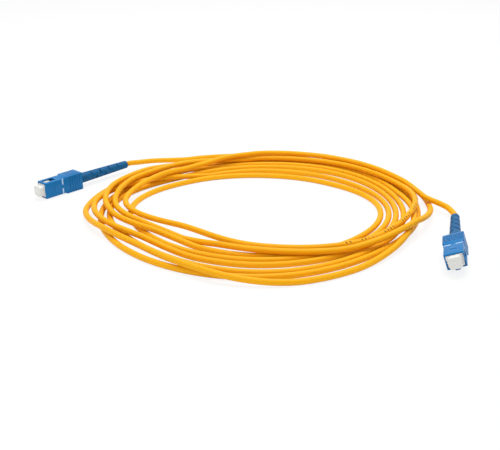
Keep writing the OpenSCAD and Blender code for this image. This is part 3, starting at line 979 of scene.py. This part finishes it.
class PATCHCORD_OT_boots(bpy.types.Operator):
    """Mould the flexible boots with their flex slots"""

    bl_idname = "patchcord.boots"
    bl_label = "Boots"

    def execute(self, context):
        plug = context.scene.patch_plug
        low, high = plug_box("boot_b")
        boot = self.outside(plug, low.x, high.x)
        narrow = context.scene.patch_cable.diameter / 2 + FIT_GAP
        cut(boot, self.slots(plug, narrow, low.x, high.x))
        cut(boot, self.bore(plug, narrow, low.x, high.x))
        rounded(boot, 0.09 * MM, segments=2, angle=50)
        tidy(boot, 35)
        put_on_plugs(boot, "flex_boot", "cord", "boot", boot_finish(plug))
        return {"FINISHED"}

    @staticmethod
    def outside(plug, rear, front):
        thin, thick = plug.boot_end_diameter / 2, plug.boot_diameter / 2
        edge = 0.35 * MM
        return turned("boot", [
            (rear, thin - edge),
            (rear + edge * 0.3, thin - edge * 0.3),
            (rear + edge, thin),
            (rear + plug.boot_collar, thin),
            (front - plug.boot_taper, thick),
            (front, thick),
        ])

    @staticmethod
    def slots(plug, narrow, rear, front):
        """Pairs of cuts, each pair a quarter turn from the one before it."""
        tools = []
        for i in range(plug.slot_count):
            start = rear + plug.slot_inset + i * plug.slot_pitch
            end = start + plug.slot_width
            covered = narrow if end < front - plug.socket_length else plug.socket_diameter / 2
            turn = plug.slot_turn + math.pi / 2 * (i % 2)
            tool = added_box(
                "slot", (start, covered + plug.slot_floor, -5 * MM), (end, 6 * MM, 5 * MM)
            )
            rounded(tool, 0.3 * MM)
            tool.data.transform(Matrix.Rotation(turn, 4, "X"))
            tools += both_sides([tool])
        return joined(tools)

    @staticmethod
    def bore(plug, narrow, rear, front):
        """The way for the cable, wider over the crimp ring's grip and again over its neck."""
        slope = 0.02 * MM
        grip, grip_start = plug.socket_diameter / 2, front - plug.socket_length
        neck, neck_start = plug.neck_diameter / 2, front - plug.neck_length
        return turned("bore", [
            (rear - MM, narrow), (grip_start, narrow), (grip_start + slope, grip),
            (neck_start, grip), (neck_start + slope, neck), (front + MM, neck),
        ])


class PATCHCORD_OT_caps(bpy.types.Operator):
    """Mould the soft dust caps"""

    bl_idname = "patchcord.caps"
    bl_label = "Dust caps"

    def execute(self, context):
        plug = context.scene.patch_plug
        low, high = plug_box("dust_cap_b")
        collar_front = plug_box("sleeve_b")[1].x + STOP_GAP
        half = plug.cap_width / 2
        collar_bevel, step, roof, hole_radius = 0.4 * MM, 0.05 * MM, 2 * MM, 1.3 * MM
        cap = self.block("cap", low, (collar_front, high.y, high.z), collar_bevel)
        nose_low = (low.x + MM, -half, low.z + step)
        nose_high = (high.x, half, high.z - step)
        nose = self.block("nose", nose_low, nose_high, plug.cap_bevel)
        cut(cap, nose, "UNION")
        cut(cap, added_rod("hole", low.x - MM, high.x - roof, hole_radius))
        tidy(cap)
        put_on_plugs(cap, "soft_cap", "cap", "dust_cap", cap_finish(plug))
        return {"FINISHED"}

    @staticmethod
    def block(name, low, high, bevel):
        """A box with rounded long edges and softer ends."""
        block = added_box(name, low, high)
        pick(block, "EDGE", lambda edge: abs(edge.verts[0].co.x - edge.verts[1].co.x) > MM)
        bpy.ops.mesh.bevel(offset=bevel, segments=6, affect="EDGES")
        done()
        rounded(block, 0.35 * MM, segments=4, angle=60)
        return block


class PATCHCORD_OT_inner_parts(bpy.types.Operator):
    """Give the pieces inside the plugs their finishes"""

    bl_idname = "patchcord.inner_parts"
    bl_label = "Inner parts"

    def execute(self, context):
        plug = context.scene.patch_plug
        nickel = metal_finish("nickel_plate", (0.66, 0.65, 0.62))
        finishes = {
            "plug_frame": moulded_finish("blue_frame", tuple(plug.frame_tint), gloss=0.34),
            "ferrule": ceramic_finish(),
            "fibre_core": moulded_finish("fibre_end", (0.08, 0.09, 0.12), gloss=0.1, scuff=0),
            "ferrule_flange": nickel,
            "stop_body": nickel,
            "ferrule_spring": metal_finish("spring_wire", (0.52, 0.53, 0.55), gloss=0.3),
            "crimp_ring": metal_finish("crimped_metal", (0.62, 0.58, 0.50), gloss=0.36),
            "aramid_yarn": yarn_finish(),
            "buffered_fibre": moulded_finish("buffer", (0.80, 0.80, 0.76), scuff=0),
            "jacket_tail": moulded_finish(
                "jacket_end", tuple(context.scene.patch_cable.tint), scuff=0
            ),
        }
        for kind, finish in finishes.items():
            for side in SIDES:
                node = frame["nodes"][f"{kind}_{side}"]
                node.data.materials.clear()
                node.data.materials.append(finish)
        return {"FINISHED"}


class PATCHCORD_PT_panel(bpy.types.Panel):
    """Lists the steps that make the patch cord"""

    bl_label = "Patch Cord"
    bl_idname = "PATCHCORD_PT_panel"
    bl_space_type = "VIEW_3D"
    bl_region_type = "UI"
    bl_category = "Patch Cord"

    def draw(self, context):
        for step in STEPS_IN_ORDER:
            self.layout.operator(step.bl_idname)


STEPS_IN_ORDER = (
    PATCHCORD_OT_stage,
    PATCHCORD_OT_cable,
    PATCHCORD_OT_sleeves,
    PATCHCORD_OT_marks,
    PATCHCORD_OT_boots,
    PATCHCORD_OT_caps,
    PATCHCORD_OT_inner_parts,
)
CLASSES = (CableSettings, PlugSettings, StageSettings, *STEPS_IN_ORDER, PATCHCORD_PT_panel)


def register():
    for cls in CLASSES:
        bpy.utils.register_class(cls)
    bpy.types.Scene.patch_cable = PointerProperty(type=CableSettings)
    bpy.types.Scene.patch_plug = PointerProperty(type=PlugSettings)
    bpy.types.Scene.patch_stage = PointerProperty(type=StageSettings)


def unregister():
    del bpy.types.Scene.patch_cable
    del bpy.types.Scene.patch_plug
    del bpy.types.Scene.patch_stage
    for cls in reversed(CLASSES):
        bpy.utils.unregister_class(cls)


def main():
    register()
    bpy.ops.patchcord.stage()
    bpy.ops.patchcord.cable()
    bpy.ops.patchcord.sleeves()
    bpy.ops.patchcord.marks()
    bpy.ops.patchcord.boots()
    bpy.ops.patchcord.caps()
    bpy.ops.patchcord.inner_parts()
    boxes = {"cad": CAD_BOX, "visual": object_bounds()}
    {k: [list(corner) for corner in box] for k, box in boxes.items()}


if __name__ == "__main__":
    main()
